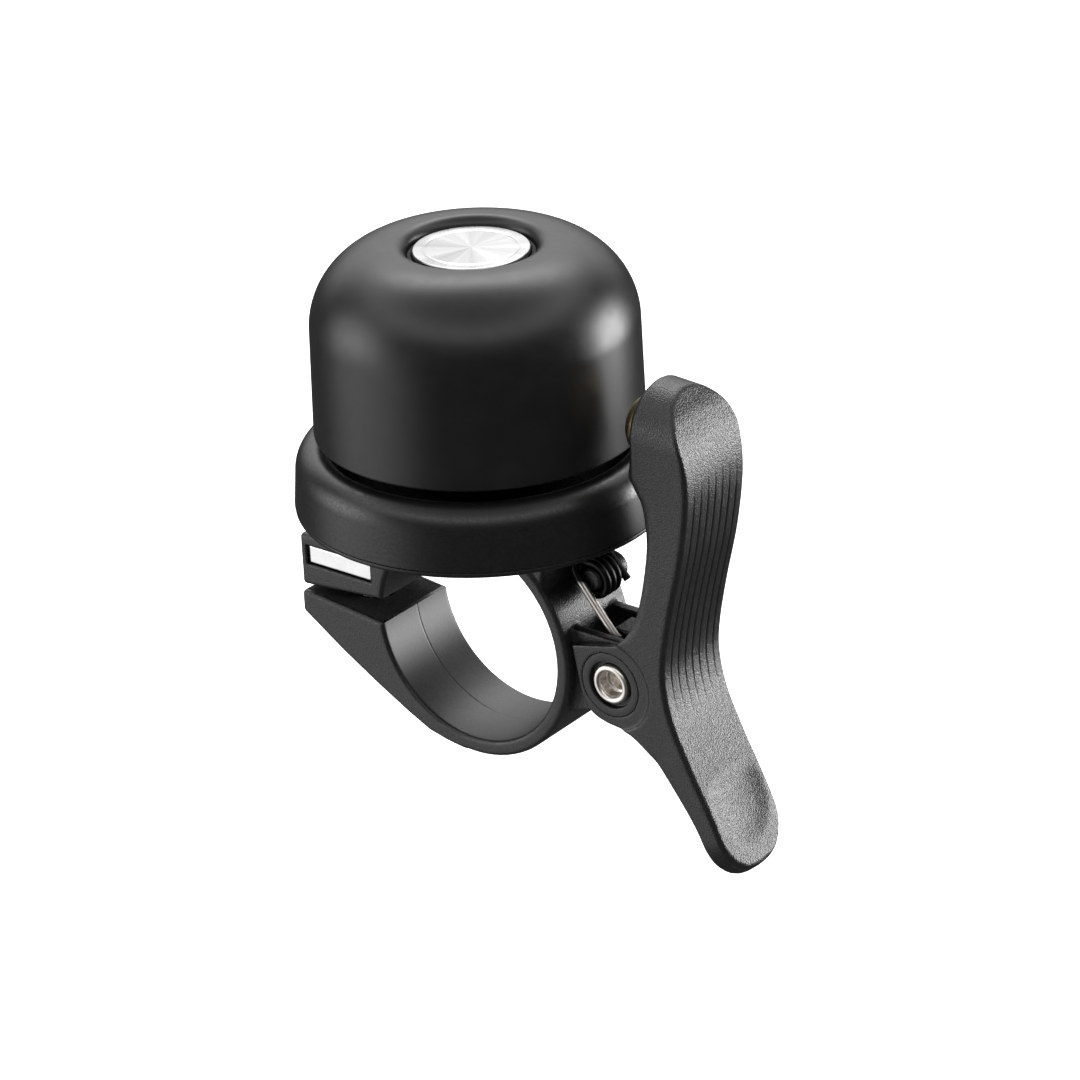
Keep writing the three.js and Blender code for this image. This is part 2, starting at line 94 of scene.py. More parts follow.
DOME_X = (DOME_LOW.x + DOME_HIGH.x) / 2
BASE_Z = node_box("base_plate")[0].z
BAND_HALF = -BAND_LOW.y
PIVOT = ((PIN_LOW.x + PIN_HIGH.x) / 2, (PIN_LOW.z + PIN_HIGH.z) / 2)
LEVER_HALF = LEVER_HIGH.y
HEAD_FACE = HAMMER_HIGH.x + 0.1  # the lever head's flat face towards the dome
CLAMP_SCREW_X = (SCREW_LOW.x + SCREW_HIGH.x) / 2

BAR_RADIUS = 11.1  # 22.2 mm handlebar
BAND_RADIUS = 12.62
BAND_CENTRE_Z = -0.12  # the band is a little thicker below the handlebar than above it
FORK_INNER = 2.6
FORK_OUTER = 3.7
CHEEK_INNER = 3.85
PIN_RADIUS = 1.95
PIN_BORE = 1.3
COIL = {"x": 12.85, "z": 8.4, "radius": 1.8, "front": -1.25, "pitch": 0.84}
HOOK = (16.5, 3.15)  # where the spring's leg goes into the lever
WIRE_RADIUS = 0.4

# ---------------------------------------------------------------- meshes

TURNED_SHARP = 35  # degrees between faces from which an edge is shaded sharp
MOULDED_SHARP = 50


def new_mesh_object(name, points, faces, smooth=True):
    """An object from points in millimetres."""
    mesh = bpy.data.meshes.new(name)
    mesh.from_pydata((np.asarray(points, float) * MM).tolist(), [], faces)
    mesh.update()
    if smooth:
        mesh.shade_smooth()
    obj = bpy.data.objects.new(name, mesh)
    bpy.context.scene.collection.objects.link(obj)
    return obj


def rounded(points, steps=5, closed=False):
    """A polyline whose corners are rounded: a point is (u, v), or (u, v, radius) for a round corner."""
    out = []
    count = len(points)
    for i, point in enumerate(points):
        at = np.array(point[:2], float)
        end = not closed and i in (0, count - 1)
        if len(point) < 3 or end:
            out.append(tuple(at))
            continue
        before = np.array(points[i - 1][:2], float) - at
        after = np.array(points[(i + 1) % count][:2], float) - at
        before /= np.linalg.norm(before)
        after /= np.linalg.norm(after)
        half = math.acos(max(-1.0, min(1.0, float(before @ after)))) / 2
        centre = at + (before + after) / np.linalg.norm(before + after) * point[2] / math.sin(half)
        start = at + before * point[2] / math.tan(half) - centre
        stop = at + after * point[2] / math.tan(half) - centre
        turn = math.atan2(start[0] * stop[1] - start[1] * stop[0], start @ stop)
        for k in range(steps + 1):
            angle = turn * k / steps
            c, s = math.cos(angle), math.sin(angle)
            out.append((centre[0] + start[0] * c - start[1] * s, centre[1] + start[0] * s + start[1] * c))
    return out


def arc(centre_u, centre_v, radius_u, radius_v, start, stop, steps):
    """Points along an arc of an ellipse, from one angle to another in degrees."""
    angles = np.radians(np.linspace(start, stop, steps + 1))
    return [(centre_u + radius_u * math.cos(a), centre_v + radius_v * math.sin(a)) for a in angles]


def smooth_curve(points, steps):
    """A Catmull-Rom curve through points of any dimension."""
    p = np.array(points, float)
    p = np.vstack([2 * p[0] - p[1], p, 2 * p[-1] - p[-2]])
    out = []
    for i in range(1, len(p) - 2):
        for k in range(steps):
            t = k / steps
            a, b, c, d = p[i - 1], p[i], p[i + 1], p[i + 2]
            out.append(0.5 * (2 * b + (c - a) * t + (2 * a - 5 * b + 4 * c - d) * t**2
                              + (3 * b - a - 3 * c + d) * t**3))
    out.append(p[-2])
    return [tuple(q) for q in out]


# How a lathe's axis lies: each entry turns (radius cos, radius sin, height) into x, y, z.
AXES = {
    "x": lambda c, s, h: (h, c, s),
    "y": lambda c, s, h: (s, h, c),
    "z": lambda c, s, h: (c, s, h),
}


def lathe(name, profile, sides=128, axis="z", centre=(0.0, 0.0, 0.0)):
    """A [radius, height] profile turned round an axis. Ends off the axis are joined to each other."""
    axle = 1e-6
    on_axis = [radius < axle for radius, _ in profile]
    closed = not (on_axis[0] and on_axis[-1])
    points, rings = [], []
    for (radius, height), pole in zip(profile, on_axis):
        ring = []
        for k in range(1 if pole else sides):
            angle = 2 * math.pi * k / sides
            spot = AXES[axis](radius * math.cos(angle), radius * math.sin(angle), height)
            ring.append(len(points))
            points.append([spot[i] + centre[i] for i in range(3)])
        rings.append(ring)
    faces = []
    for i in range(len(rings) - (0 if closed else 1)):
        low, high = rings[i], rings[(i + 1) % len(rings)]
        for k in range(sides):
            face = [
                low[k % len(low)], low[(k + 1) % len(low)],
                high[(k + 1) % len(high)], high[k % len(high)],
            ]
            face = list(dict.fromkeys(face))
            if len(face) > 2:
                faces.append(face)
    obj = new_mesh_object(name, points, faces)
    face_outwards(obj)
    obj.data.set_sharp_from_angle(angle=math.radians(TURNED_SHARP))
    return obj


def face_outwards(obj):
    """Turns all faces of a closed mesh outwards."""
    mesh = obj.data
    mesh.calc_loop_triangles()
    corners = np.zeros(len(mesh.loop_triangles) * 3, int)
    mesh.loop_triangles.foreach_get("vertices", corners)
    spots = np.zeros(len(mesh.vertices) * 3)
    mesh.vertices.foreach_get("co", spots)
    a, b, c = spots.reshape(-1, 3)[corners].reshape(-1, 3, 3).transpose(1, 0, 2)
    if (a * np.cross(b, c)).sum() < 0:
        mesh.flip_normals()


# ---------------------------------------------------------------- fields


def outline_field(outline):
    """Signed distance to a closed outline in its plane, negative inside."""
    corners = np.array(outline, np.float32)
    following = np.roll(corners, -1, axis=0)

    def field(u, v):
        u, v = np.broadcast_arrays(np.asarray(u, np.float32), np.asarray(v, np.float32))
        nearest = np.full(u.shape, 1e6, np.float32)
        inside = np.zeros(u.shape, bool)
        for (au, av), (bu, bv) in zip(corners, following):
            eu, ev = bu - au, bv - av
            length = eu * eu + ev * ev
            if length < 1e-9:
                continue
            pu, pv = u - au, v - av
            t = np.clip((pu * eu + pv * ev) / length, 0, 1)
            nearest = np.minimum(nearest, (pu - t * eu) ** 2 + (pv - t * ev) ** 2)
            if ev != 0:
                inside ^= ((av > v) != (bv > v)) & (pu < pv * eu / ev)
        return np.where(inside, -1, 1) * np.sqrt(nearest)

    return field


def meet(a, b, radius):
    """Where both fields are negative, with the edge between them rounded."""
    corner = np.sqrt(np.maximum(a + radius, 0) ** 2 + np.maximum(b + radius, 0) ** 2)
    return np.minimum(np.maximum(a, b), -radius) + corner


def join(a, b, radius):
    """Where either field is negative, with a fillet between them."""
    corner = np.sqrt(np.maximum(radius - a, 0) ** 2 + np.maximum(radius - b, 0) ** 2)
    return np.maximum(np.minimum(a, b), radius) - corner


def cut(a, b, radius):
    """The first field less the second, with the edge rounded."""
    return meet(a, -b, radius)


def slab(value, low, high):
    """Between two parallel planes."""
    return abs(value - (low + high) / 2) - (high - low) / 2


def bump(distance, width):
    """1 at distance 0, falling smoothly to 0."""
    return np.exp(-((distance / width) ** 2))


def fade(value, start, stop):
    """0 at start, 1 at stop, smooth between."""
    t = np.clip((value - start) / (stop - start), 0, 1)
    return t * t * (3 - 2 * t)


def levels(low, high, coarse, marks=(), steps=(0, 0.06, 0.12, 0.19, 0.28)):
    """Places of the grid's planes along one axis: coarse ones, and closer ones round each mark."""
    clear = 0.09  # coarse planes keep this far from the closer ones
    closest = 0.035
    fine = sorted({round(mark + side * step, 4) for mark in marks for step in steps for side in (-1, 1)})
    places = [v for v in np.arange(low, high + coarse, coarse) if all(abs(v - f) > clear for f in fine)]
    places = sorted(places + fine)
    kept = [places[0]]
    for place in places[1:]:
        if place - kept[-1] > closest:
            kept.append(place)
    return np.array(kept, np.float32)


def grow(name, field, axes):
    """A mesh of the zero surface of a field on a grid, one point for each cell that it crosses."""
    shape = tuple(len(a) for a in axes)
    x, y, z = axes
    values = np.broadcast_to(field(x[:, None, None], y[None, :, None], z[None, None, :]), shape)
    inside = values < 0
    cell_shape = tuple(n - 1 for n in shape)
    corners, weights, quads = [], [], []
    for axis in range(3):
        first = [slice(None)] * 3
        second = [slice(None)] * 3
        first[axis], second[axis] = slice(0, -1), slice(1, None)
        first, second = tuple(first), tuple(second)
        at = np.argwhere(inside[first] != inside[second])
        a, b = values[first][tuple(at.T)], values[second][tuple(at.T)]
        crossing = np.stack([axes[i][at[:, i]] for i in range(3)], 1).astype(float)
        crossing[:, axis] += a / (a - b) * (axes[axis][at[:, axis] + 1] - axes[axis][at[:, axis]])
        u, v = (axis + 1) % 3, (axis + 2) % 3
        ring = []
        for du, dv in ((1, 1), (0, 1), (0, 0), (1, 0)):
            cell = at.copy()
            cell[:, u] -= du
            cell[:, v] -= dv
            ring.append(np.ravel_multi_index(tuple(cell.T), cell_shape))
            corners.append(ring[-1])
            weights.append(crossing)
        ring = np.stack(ring, 1)
        quads.append(np.where((a < 0)[:, None], ring, ring[:, ::-1]))
    quads = np.concatenate(quads)
    weights = np.concatenate(weights)
    used, order = np.unique(np.concatenate(corners), return_inverse=True)
    number = np.bincount(order)
    spots = np.stack([np.bincount(order, weights[:, i]) / number for i in range(3)], 1)
    obj = new_mesh_object(name, settle(spots, field), np.searchsorted(used, quads).tolist())
    obj.data.set_sharp_from_angle(angle=math.radians(MOULDED_SHARP))
    return obj


def settle(spots, field):
    """Moves points onto the zero surface of a field in two short steps."""
    small = 0.01  # over which the field's slope is measured
    longest = 0.06  # of one step
    for _ in range(2):
        x, y, z = (spots[:, i] for i in range(3))
        here = field(x, y, z)
        slope = np.stack([
            field(x + small, y, z) - here, field(x, y + small, z) - here, field(x, y, z + small) - here,
        ], 1) / small
        size = np.maximum((slope**2).sum(1), 0.25)
        step = slope * (here / size)[:, None]
        length = np.linalg.norm(step, axis=1)
        step *= np.minimum(1, longest / np.maximum(length, 1e-9))[:, None]
        spots = spots - step
    return spots


# ---------------------------------------------------------------- materials


class Shader:
    """A Principled material and short ways to add nodes to it."""

    def __init__(self, name, color, roughness, metallic=0.0):
        self.material = bpy.data.materials.new(name)
        self.material.use_nodes = True
        self.nodes = self.material.node_tree.nodes
        self.links = self.material.node_tree.links
        self.principled = self.nodes["Principled BSDF"]
        self.set("Base Color", (*color, 1))
        self.set("Roughness", roughness)
        self.set("Metallic", metallic)
        self.place = self.node("ShaderNodeTexCoord").outputs["Object"]

    def set(self, socket, value):
        self.principled.inputs[socket].default_value = value

    def node(self, kind, **values):
        made = self.nodes.new(kind)
        for key, value in values.items():
            setattr(made, key, value)
        return made

    def link(self, output, socket):
        self.links.new(output, socket)

    def noise(self, size, detail=2.0, stretch=(1, 1, 1)):
        """Noise with features of about size millimetres, drawn out along an axis by stretch."""
        mapping = self.node("ShaderNodeMapping")
        mapping.inputs["Scale"].default_value = stretch
        self.link(self.place, mapping.inputs["Vector"])
        made = self.node("ShaderNodeTexNoise")
        made.inputs["Scale"].default_value = 1 / (size * MM)
        made.inputs["Detail"].default_value = detail
        self.link(mapping.outputs["Vector"], made.inputs["Vector"])
        return made.outputs["Fac"]

    def spread(self, value, low, high, start=0.3, stop=0.7):
        """Maps a texture's value to a range."""
        made = self.node("ShaderNodeMapRange")
        for socket, number in (("From Min", start), ("From Max", stop), ("To Min", low), ("To Max", high)):
            made.inputs[socket].default_value = number
        self.link(value, made.inputs["Value"])
        return made.outputs["Result"]

    def tint(self, value, dark, light):
        """Colour between two tones by a texture's value."""
        ramp = self.node("ShaderNodeValToRGB")
        ramp.color_ramp.elements[0].position = 0.3
        ramp.color_ramp.elements[1].position = 0.7
        ramp.color_ramp.elements[0].color = (*dark, 1)
        ramp.color_ramp.elements[1].color = (*light, 1)
        self.link(value, ramp.inputs["Fac"])
        self.link(ramp.outputs["Color"], self.principled.inputs["Base Color"])

    def rough(self, value, low, high):
        self.link(self.spread(value, low, high), self.principled.inputs["Roughness"])

    def relief(self, value, depth):
        """Bump of a depth in millimetres."""
        made = self.node("ShaderNodeBump")
        made.inputs["Distance"].default_value = depth * MM
        made.inputs["Strength"].default_value = 1.0
        self.link(value, made.inputs["Height"])
        self.link(made.outputs["Normal"], self.principled.inputs["Normal"])


def grey(value):
    return (value, value, value * 1.02)


def satin_paint():
    """The dome's powder-fine black coat."""
    shader = Shader("satin_paint", grey(0.0045), 0.36)
    fine = shader.noise(0.22, 3)
    shader.tint(shader.noise(2.5, 2), grey(0.0038), grey(0.0052))
    shader.rough(shader.noise(1.2, 3), 0.34, 0.39)
    shader.relief(fine, 0.0035)
    return shader.material


def moulded(name, tone, roughness, grain, depth, uneven=0.07):
    """Black moulded plastic with a fine sparked grain."""
    shader = Shader(name, grey(tone), roughness)
    pits = shader.noise(grain, 0)
    shader.tint(pits, grey(tone * 1.5), grey(tone * 0.6))
    shader.rough(pits, roughness - uneven, roughness + uneven)
    shader.relief(pits, depth)
    return shader.material


def metal(name, color, roughness, brushed=(1, 1, 12), depth=0.002):
    """Plated or bare metal with fine drawn marks."""
    shader = Shader(name, color, roughness, 1.0)
    marks = shader.noise(0.5, 3, brushed)
    shader.tint(shader.noise(1.5, 2), tuple(c * 0.92 for c in color), color)
    shader.rough(marks, roughness - 0.04, roughness + 0.06)
    shader.relief(marks, depth)
    return shader.material


def spun_aluminium():
    """Turned face: fine rings round the dome's axis, with painted wedges of highlight and shade in the
    colour that stand in for the turned face's reflections.
    """
    ring_width = 0.09
    shader = Shader("spun_aluminium", (0.6, 0.6, 0.595), 0.22, 1.0)
    shader.set("Anisotropic", 0.4)
    centred = shader.node("ShaderNodeMapping")
    centred.inputs["Location"].default_value = (-DOME_X * MM, 0, 0)
    centred.inputs["Scale"].default_value = (1, 1, 0)
    shader.link(shader.place, centred.inputs["Vector"])
    radius = shader.node("ShaderNodeVectorMath", operation="LENGTH")
    shader.link(centred.outputs["Vector"], radius.inputs[0])
    rings = shader.node("ShaderNodeTexNoise", noise_dimensions="1D")
    rings.inputs["Scale"].default_value = 1 / (ring_width * MM)
    rings.inputs["Detail"].default_value = 3
    shader.link(radius.outputs["Value"], rings.inputs["W"])
    outward = shader.node("ShaderNodeVectorMath", operation="NORMALIZE")
    shader.link(centred.outputs["Vector"], outward.inputs[0])
    painted_wedges = shader.node("ShaderNodeTexNoise")
    painted_wedges.inputs["Scale"].default_value = 1.3
    painted_wedges.inputs["Detail"].default_value = 4
    shader.link(outward.outputs["Vector"], painted_wedges.inputs["Vector"])
    # Painted highlight and shade: the colour runs between dark and light by the wedges round the axis
    shader.tint(painted_wedges.outputs["Fac"], (0.34, 0.34, 0.34), (0.66, 0.66, 0.655))
    shader.rough(rings.outputs["Fac"], 0.18, 0.26)
    shader.relief(rings.outputs["Fac"], 0.006)
    return shader.material


def coil_steel_painted_shade():
    """Wire with painted shade: where it lies further back than the straight leg, or higher than the leg's
    bend, its colour is painted near black for the shade under the skirt; the straight leg stays bright.
    """
    shader = Shader("coil_steel_painted_shade", (0.85, 0.79, 0.73), 0.34, 1.0)
    parts = shader.node("ShaderNodeSeparateXYZ")
    shader.link(shader.place, parts.inputs["Vector"])
    # Painted shade mask: 1 where the wire lies behind the straight leg, along +Y, or higher than the leg's
    # bend
    shade_behind = shader.spread(parts.outputs["Y"], 0, 1, -1.85 * MM, -1.6 * MM)
    above = shader.spread(parts.outputs["Z"], 0, 1, 8.0 * MM, 8.8 * MM)
    dark = shader.node("ShaderNodeMath", operation="MAXIMUM")
    shader.link(shade_behind, dark.inputs[0])
    shader.link(above, dark.inputs[1])
    speckled_shade = shader.node("ShaderNodeMath", operation="MULTIPLY_ADD")
    shader.link(shader.noise(0.4, 3), speckled_shade.inputs[0])
    speckled_shade.inputs[1].default_value = 0.16
    shader.link(dark.outputs["Value"], speckled_shade.inputs[2])
    # The colour runs from bright steel to near black by the painted shade mask, with a little noise
    shader.tint(speckled_shade.outputs["Value"], (0.85, 0.79, 0.73), (0.03, 0.03, 0.031))
    shader.rough(dark.outputs["Value"], 0.34, 0.42)
    return shader.material


def rubber():
    shader = Shader("black_rubber", grey(0.008), 0.8)
    shader.relief(shader.noise(0.3, 3), 0.01)
    shader.rough(shader.noise(1, 2), 0.75, 0.9)
    return shader.material


PAINT = satin_paint()
SKIRT_PLASTIC = moulded("smooth_plastic", 0.0045, 0.36, 0.2, 0.003)
CLAMP_PLASTIC = moulded("grained_plastic", 0.008, 0.38, 0.13, 0.03)
BORE_PLASTIC = moulded("bore_plastic", 0.006, 0.42, 0.3, 0.001, 0.005)
LEVER_PLASTIC = moulded("lever_plastic", 0.0068, 0.36, 0.13, 0.038)
# Painted shade: darker, dull plastic for faces that sit in deep shade, under the dome and inside the
# clamp's slit
PAINTED_SHADE_MATTE = moulded("painted_shade_matte", 0.004, 0.95, 0.3, 0.01)
STEEL = metal("plated_steel", (0.74, 0.72, 0.69), 0.24)
BRIGHT_STEEL = metal("bright_nut_plate", (0.86, 0.86, 0.86), 0.32, (1, 1, 8))
RIVET_STEEL = metal("rivet_steel", (0.9, 0.86, 0.81), 0.36, (1, 1, 1), 0.0003)
SPRING_STEEL_PAINTED_SHADE = coil_steel_painted_shade()
BRASS = metal("brass", (0.5, 0.38, 0.19), 0.34, (1, 12, 12))
ALUMINIUM = spun_aluminium()
RUBBER = rubber()


def finish(obj, material, body, slot, *nodes):
    """Gives a new piece its material and body, and hides the CAD nodes that it stands for. Its slot is not
    used.

    A piece without a body is not attached to any.
    """
    obj.data.materials.clear()
    obj.data.materials.append(material)
    if body:
        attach(obj, body)
    if nodes:
        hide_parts(*nodes)


# ---------------------------------------------------------------- dome, cap and gasket

DOME_AXIS = (DOME_X, 0.0, 0.0)
CREST_RADIUS = 7.7
SHOULDER_Z = 32.1
SHOULDER_RADIUS = 16.2
DOME_WALL = 1.6
WELL_RADIUS = 6.35
WELL_FLOOR = 37.0
DOME_FLOOR_UNDERSIDE = WELL_FLOOR - DOME_WALL + 0.1
SCREW_HOLE_RADIUS = 2.25
CAP_RADIUS = (CAP_HIGH.x - CAP_LOW.x) / 2


def dome_profile():
    rim = DOME_HIGH.x - DOME_X
    crest_rise = DOME_HIGH.z - SHOULDER_Z
    reach = SHOULDER_RADIUS - CREST_RADIUS
    well_round = CREST_RADIUS - WELL_RADIUS
    outer = [
        (rim - DOME_WALL, DOME_LOW.z, 0.3),
        (rim, DOME_LOW.z, 0.35),
        *arc(CREST_RADIUS, SHOULDER_Z, reach, crest_rise, 0, 90, 40),
        *arc(CREST_RADIUS, DOME_HIGH.z - well_round, well_round, well_round, 90, 180, 14)[1:],
        (WELL_RADIUS, WELL_FLOOR),
        (SCREW_HOLE_RADIUS, WELL_FLOOR),
        (SCREW_HOLE_RADIUS, DOME_FLOOR_UNDERSIDE),
        (WELL_RADIUS + DOME_WALL, DOME_FLOOR_UNDERSIDE, 0.7),
        *arc(CREST_RADIUS, SHOULDER_Z, reach - DOME_WALL, crest_rise - DOME_WALL, 84, 0, 16),
    ]
    return rounded(outer, 6, closed=True)


def cap_profile():
    top, bottom = CAP_HIGH.z, CAP_LOW.z
    groove = 0.8 * CAP_RADIUS
    return rounded([
        (0, bottom), (CAP_RADIUS, bottom, 0.1), (CAP_RADIUS, top, 0.16),
        (groove + 0.2, top, 0.05), (groove, top - 0.06, 0.05), (groove - 0.2, top, 0.05), (0, top),
    ], 4)


def build_dome():
    dome = lathe("dome_shell", dome_profile(), 256, centre=DOME_AXIS)
    finish(dome, PAINT, "base", "painted_dome", "bell_dome")
    cap = lathe("cap_disc", cap_profile(), 160, centre=DOME_AXIS)
    finish(cap, ALUMINIUM, "base", "brushed_aluminium", "top_cap")
    gasket_low, gasket_high = node_box("cap_gasket")
    gasket = lathe("gasket_ring", rounded([
        (CAP_RADIUS + 0.1, gasket_low.z), (WELL_RADIUS - 0.05, gasket_low.z),
        (WELL_RADIUS - 0.05, gasket_high.z, 0.15), (CAP_RADIUS + 0.1, gasket_high.z, 0.15),
    ], 4, closed=True), 128, centre=DOME_AXIS)
    finish(gasket, RUBBER, "base", "black_rubber", "cap_gasket")


# ---------------------------------------------------------------- base

BASE_RADIUS = SKIRT_HIGH.x - DOME_X
SKIRT_TAPER = 0.28  # the wall leans in by this much up to its shoulder
SKIRT_SHOULDER_Z = BASE_Z + 4.1
LIP_RADIUS = 16.1
LIP_ROLL = 1.2
DECK_RADIUS = 14.9
DECK_HIGH = BASE_Z + 2.5
DECK_LOW = BASE_Z + 1.3
DECK_HOLE_RADIUS = 2.06
PLATE_SEAT_RADIUS = 16.6  # the plate's raised middle fits in the skirt with 0.1 mm of room
PLATE_HIGH = BASE_Z + 1.2
BASE_SCREW_WELL = {"radius": 2.45, "depth": 0.5}


def build_base():
    top = SKIRT_HIGH.z
    bottom = SKIRT_LOW.z
    shoulder = BASE_RADIUS - SKIRT_TAPER
    skirt = lathe("skirt_shell", rounded([
        (PLATE_SEAT_RADIUS, bottom), (BASE_RADIUS, bottom, 0.12),
        *arc(LIP_RADIUS, SKIRT_SHOULDER_Z, shoulder - LIP_RADIUS, top - SKIRT_SHOULDER_Z, 0, 88, 28),
        *arc(LIP_RADIUS, top - LIP_ROLL, LIP_ROLL, LIP_ROLL, 92, 180, 12),
        (DECK_RADIUS, DECK_HIGH, 0.6), (DECK_HOLE_RADIUS, DECK_HIGH), (DECK_HOLE_RADIUS, DECK_LOW),
        (PLATE_SEAT_RADIUS, DECK_LOW),
    ], 5, closed=True), 256, centre=DOME_AXIS)
    finish(skirt, SKIRT_PLASTIC, "base", "smooth_plastic", "base_skirt")
    skirt.data.materials.append(PAINTED_SHADE_MATTE)
    # Painted shade: faces inside the lip, in the gap under the dome, take the dark matte material
    for face in skirt.data.polygons:
        radius = math.hypot(face.center.x - DOME_X * MM, face.center.y)
        if radius < (LIP_RADIUS - 1.1) * MM:
            face.material_index = 1
    rim = BASE_RADIUS - 0.06
    rim_top = bottom - 0.05
    step = PLATE_SEAT_RADIUS - 0.1
    plate = lathe("plate_disc", rounded([
        (0, BASE_Z), (rim, BASE_Z, 0.34), (rim, rim_top, 0.08), (step, rim_top), (step, PLATE_HIGH),
        (0, PLATE_HIGH),
    ], 5), 256, centre=DOME_AXIS)
    well_radius = BASE_SCREW_WELL["radius"]
    well_top = BASE_Z + BASE_SCREW_WELL["depth"]
    for screw in ("base_screw_1", "base_screw_2"):
        low, high = node_box(screw)
        y = (low.y + high.y) / 2
        drill = lathe("drill", [(0, BASE_Z - 1), (well_radius, BASE_Z - 1), (well_radius, well_top),
                                (0, well_top)], 64, centre=(DOME_X, y, 0))
        subtract(plate, drill)
    finish(plate, SKIRT_PLASTIC, "base", "smooth_plastic", "base_plate")


def subtract(obj, tool):
    """Cuts a tool out of an object and removes the tool."""
    change = obj.modifiers.new("cut", "BOOLEAN")
    change.operation = "DIFFERENCE"
    change.solver = "EXACT"
    change.object = tool
    apply_modifiers(obj)
    bpy.data.objects.remove(tool)


def apply_modifiers(obj):
    bpy.context.view_layer.update()
    made = bpy.data.meshes.new_from_object(obj.evaluated_get(bpy.context.evaluated_depsgraph_get()))
    obj.modifiers.clear()
    obj.data = made


# ---------------------------------------------------------------- clamp

EDGE = 0.45  # the moulded pieces' outer edge radius
SEAM_Y = 0.3  # the mould's parting line round the bore
SPRING_ARM = (1.75, 2.9)  # its near and far side
SCREW_SHAFT_RADIUS = 2.3
HEAD_WELL = {"radius": 4.2, "z": -3.4}
NUT_ROOM = {"left": 0.28, "right": 0.16, "below": 0.16, "above": 0.1, "end": 4.2}


def clamp_field():
    """The band with its lug, jaw, saddle, fork and spring arm."""
    lug = outline_field(rounded([
        (-21.5, 0.5, 0.4), (-6, 1.4), (-6, 10.9), (-9.2, 8.7), (-12.4, 6.3), (-21.5, 6.3, 0.5),
    ], 4, closed=True))
    jaw = outline_field(rounded([
        (-6, -1.3), (-10.9, -1.3), (-21.7, -0.15, 0.5), (-21.7, -2.6, 0.5), (-16.7, -5.9), (-12.5, -8.4),
        (-8.3, -10.7), (-5.6, -12.0), (-3.6, -12.42), (-1.0, -12.64), (-1.0, -11.7),
    ], 4, closed=True))
    saddle = outline_field([
        (-9.5, 4), (9.6, 4), (9.6, 9.2), (10.6, BASE_Z - 0.1), (-11.4, BASE_Z - 0.1), (-9.5, 9.2),
    ])
    fork = outline_field([(9, 3.9), (17.7, 3.85), *arc(*PIVOT, 3.4, 3.4, 55, -100, 28), (9, -6.2)])
    arm = outline_field([(8.5, 10.6), *arc(COIL["x"], COIL["z"], 1.5, 1.5, 80, -100, 14), (9.5, 6.4)])
    slit = outline_field([
        (-8, 1.4), (-10.9, 1.4), (-21.2, 0.5), (-24, 0.3),
        (-24, 0.1), (-21.2, -0.2), (-10.9, -1.3), (-8, -1.3),
    ])

    def field(x, y, z):
        reach = np.sqrt(x * x + z * z)
        outside = np.sqrt(x * x + (z - BAND_CENTRE_Z) ** 2) - BAND_RADIUS
        band = join(outside, np.minimum(lug(x, z), jaw(x, z)), 0.3)
        band = np.maximum(band, BAR_RADIUS - reach)
        band = np.maximum(band, -slit(x, z))
        wide = abs(y)
        body = meet(band, wide - BAND_HALF, EDGE)
        body = join(body, cut(meet(saddle(x, z), wide - 5.0, 0.3), outside + 0.6, 0.1), 0.4)
        near_bore = BAR_RADIUS + 0.5 - reach
        walls = meet(fork(x, z), slab(wide, FORK_INNER, FORK_OUTER), 0.18)
        body = join(body, np.maximum(walls, near_bore), 0.3)
        spring_arm = meet(arm(x, z), slab(y, *SPRING_ARM), 0.2)
        body = join(body, np.maximum(spring_arm, near_bore), 0.3)
        body = np.maximum(body, BAR_RADIUS - reach)
        nut_gap = np.maximum(
            slab(x, NUT_LOW.x - NUT_ROOM["left"], NUT_HIGH.x + NUT_ROOM["right"]),
            slab(z, NUT_LOW.z - NUT_ROOM["below"], NUT_HIGH.z + NUT_ROOM["above"]),
        )
        body = cut(body, np.maximum(nut_gap, slab(y, -8, NUT_ROOM["end"])), 0.12)
        from_screw = np.sqrt((x - CLAMP_SCREW_X) ** 2 + y * y)
        body = np.maximum(body, -np.maximum(from_screw - SCREW_SHAFT_RADIUS, slab(z, -12, 6)))
        body = cut(body, np.maximum(from_screw - HEAD_WELL["radius"], z - HEAD_WELL["z"]), 0.15)
        from_pivot = np.sqrt((x - PIVOT[0]) ** 2 + (z - PIVOT[1]) ** 2)
        body = np.maximum(body, PIN_RADIUS + 0.1 - from_pivot)
        from_post = np.sqrt((x - COIL["x"]) ** 2 + (z - COIL["z"]) ** 2)
        body = np.maximum(body, -np.maximum(from_post - 1.2, -y))
        seam = 0.03 * bump(y - SEAM_Y, 0.06) * bump(reach - BAR_RADIUS, 0.5)
        return body + seam

    return field


def around(low, high, cell, margin=0.6):
    """Even grid planes from one place to another, with room at both ends."""
    return levels(low - margin, high + margin, cell)


def build_clamp():
    edges = [side * (BAND_HALF - step) for side in (-1, 1) for step in (0, 0.2)]
    clamp = grow("clamp_body", clamp_field(), (
        around(BAND_LOW.x, BAND_HIGH.x, 0.19),
        levels(-BAND_HALF - 0.5, BAND_HALF + 0.5, 0.24, [*edges, SEAM_Y]),
        around(BAND_LOW.z, BAND_HIGH.z, 0.19),
    ))
    finish(clamp, CLAMP_PLASTIC, "base", "grained_plastic", "clamp_band")
    clamp.data.materials.append(BORE_PLASTIC)
    clamp.data.materials.append(PAINTED_SHADE_MATTE)
    # Bore faces take the smoother bore plastic; faces inside the slit between lug and jaw take the dark
    # matte material, painted shade
    for face in clamp.data.polygons:
        x, y, z = face.center / MM
        if math.hypot(x, z) < BAR_RADIUS + 0.06:
            face.material_index = 1
        elif x < -11.3 and -1.5 < z < 1.6 and abs(y) < BAND_HALF - 0.4:
            face.material_index = 2


